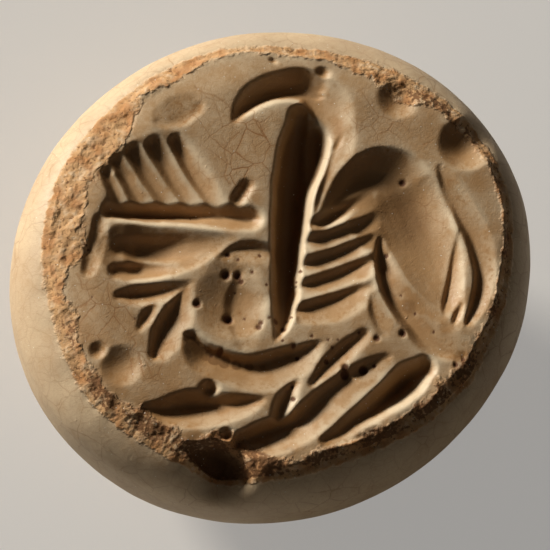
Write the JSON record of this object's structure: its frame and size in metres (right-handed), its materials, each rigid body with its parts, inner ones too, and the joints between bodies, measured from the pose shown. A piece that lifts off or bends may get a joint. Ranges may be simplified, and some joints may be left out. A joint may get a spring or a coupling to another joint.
{
  "type": "stamp seal",
  "caption": "Low domed stone stamp seal with an oval sealing face carved with a sunken figure of sharp strokes and drilled hollows, a chipped rim and a string hole through the dome.",
  "frame": {"origin": "middle of the flat worn into the back, where the seal rests", "axes": "+Z out of the sealing face, +Y towards the top of the carved figure, +X to the figure's right; the long axis of the oval stone is turned 30 degrees from +X towards +Y"},
  "size_m": [0.0264, 0.0254, 0.014],
  "materials": {
    "stone": "satin"
  },
  "bodies": {
    "root": {"seal_stone": "stone"}
  },
  "joints": []
}
